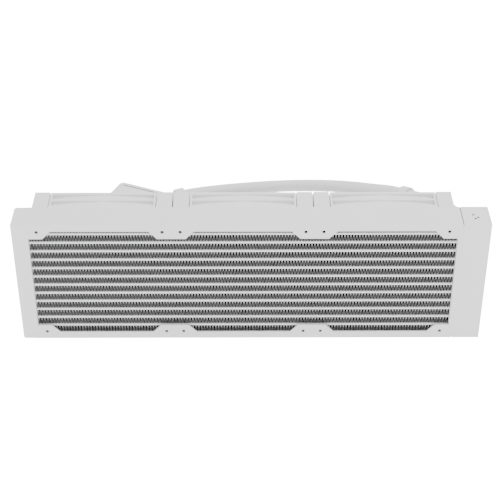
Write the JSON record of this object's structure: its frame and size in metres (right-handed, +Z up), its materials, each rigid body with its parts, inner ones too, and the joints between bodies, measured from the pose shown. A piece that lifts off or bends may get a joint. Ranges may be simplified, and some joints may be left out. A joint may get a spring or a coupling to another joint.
{
  "type": "liquid cooling radiator",
  "caption": "Slim white liquid-cooling radiator with a folded-fin core, side-by-side fans, two sleeved hoses with clips and a square pump block on a copper cold plate.",
  "frame": {"origin": "on the radiator's underside, at the middle of the core's length and of the radiator's thickness", "axes": "+X along the radiator towards the tank with the hose fittings, +Y through the radiator towards the fans, +Z up"},
  "size_m": [0.4016, 0.2135, 0.12],
  "materials": {
    "painted_aluminium": "satin white powder coat over aluminium",
    "fin_aluminium": "thin louvred strip, lightly painted at its front edges",
    "white_plastic": "fine moulded texture",
    "pad_rubber": "soft white silicone rubber",
    "hose_sleeve": "tight braided white sleeve over rubber hose",
    "hose_clip_plastic": "smooth moulded",
    "ferrule_metal": "satin white",
    "fitting_metal": "turned",
    "diffuser": "frosted light guide, unlit",
    "copper": "machined copper, fine lapping lines",
    "black_rubber": "matte",
    "dark_plastic": "glass-filled, matte",
    "circuit_board": "solder mask",
    "winding": "enamelled copper wire on laminations",
    "magnet": "sintered ferrite",
    "steel": "ground",
    "screw_steel": "white zinc and paint",
    "bracket_steel": "nickel plated, satin",
    "bronze": "sintered, oil filled"
  },
  "bodies": {
    "cooler_body": {"top_side_channel": "painted_aluminium", "bottom_side_channel": "painted_aluminium", "core_side_plates": "painted_aluminium", "flat_tubes": "painted_aluminium", "cooling_fins": "fin_aluminium", "left_header": "painted_aluminium", "right_header": "painted_aluminium", "left_tank": "painted_aluminium", "right_tank": "painted_aluminium", "tank_baffle": "painted_aluminium", "relief_bladder": "black_rubber", "fill_plug": "fitting_metal", "fill_plug_seal": "black_rubber", "upper_tank_fitting": "fitting_metal", "lower_tank_fitting": "fitting_metal", "hose_ferrules": "ferrule_metal", "upper_hose": "hose_sleeve", "lower_hose": "hose_sleeve", "tank_hose_clip": "hose_clip_plastic", "pump_hose_clip": "hose_clip_plastic", "pump_housing": "white_plastic", "pump_cap": "white_plastic", "pump_top_panel": "white_plastic", "pump_light_ring": "diffuser", "cold_plate": "copper", "cold_plate_seal": "black_rubber", "cold_plate_screws": "steel", "cpu_bracket": "bracket_steel", "pump_outer_fitting": "fitting_metal", "pump_inner_fitting": "fitting_metal", "rotor_can": "dark_plastic", "pump_stator": "winding", "pump_circuit_board": "circuit_board", "pump_shaft": "steel", "fan_corner_pads": "pad_rubber", "fan_screws": "screw_steel", "fan_1_frame": "white_plastic", "fan_1_bearing": "bronze", "fan_1_stator": "winding", "fan_1_circuit_board": "circuit_board", "fan_2_frame": "white_plastic", "fan_2_bearing": "bronze", "fan_2_stator": "winding", "fan_2_circuit_board": "circuit_board", "fan_3_frame": "white_plastic", "fan_3_bearing": "bronze", "fan_3_stator": "winding", "fan_3_circuit_board": "circuit_board"},
    "fan_1_rotor": {"fan_1_wheel": "white_plastic", "fan_1_magnet": "magnet", "fan_1_shaft": "steel"},
    "fan_2_rotor": {"fan_2_wheel": "white_plastic", "fan_2_magnet": "magnet", "fan_2_shaft": "steel"},
    "fan_3_rotor": {"fan_3_wheel": "white_plastic", "fan_3_magnet": "magnet", "fan_3_shaft": "steel"},
    "pump_rotor": {"pump_impeller": "dark_plastic", "pump_magnet": "magnet"}
  },
  "joints": [
    {"name": "fan_1_spin", "type": "hinge", "parent": "cooler_body", "child": "fan_1_rotor", "pos_m": [-0.12, 0.02603, 0.06], "axis": [0, 1, 0], "continuous": true},
    {"name": "fan_2_spin", "type": "hinge", "parent": "cooler_body", "child": "fan_2_rotor", "pos_m": [0, 0.02603, 0.06], "axis": [0, 1, 0], "continuous": true},
    {"name": "fan_3_spin", "type": "hinge", "parent": "cooler_body", "child": "fan_3_rotor", "pos_m": [0.12, 0.02603, 0.06], "axis": [0, 1, 0], "continuous": true},
    {"name": "pump_spin", "type": "hinge", "parent": "cooler_body", "child": "pump_rotor", "pos_m": [-0.1, 0.1084, 0.025], "axis": [0, 0, 1], "continuous": true}
  ]
}
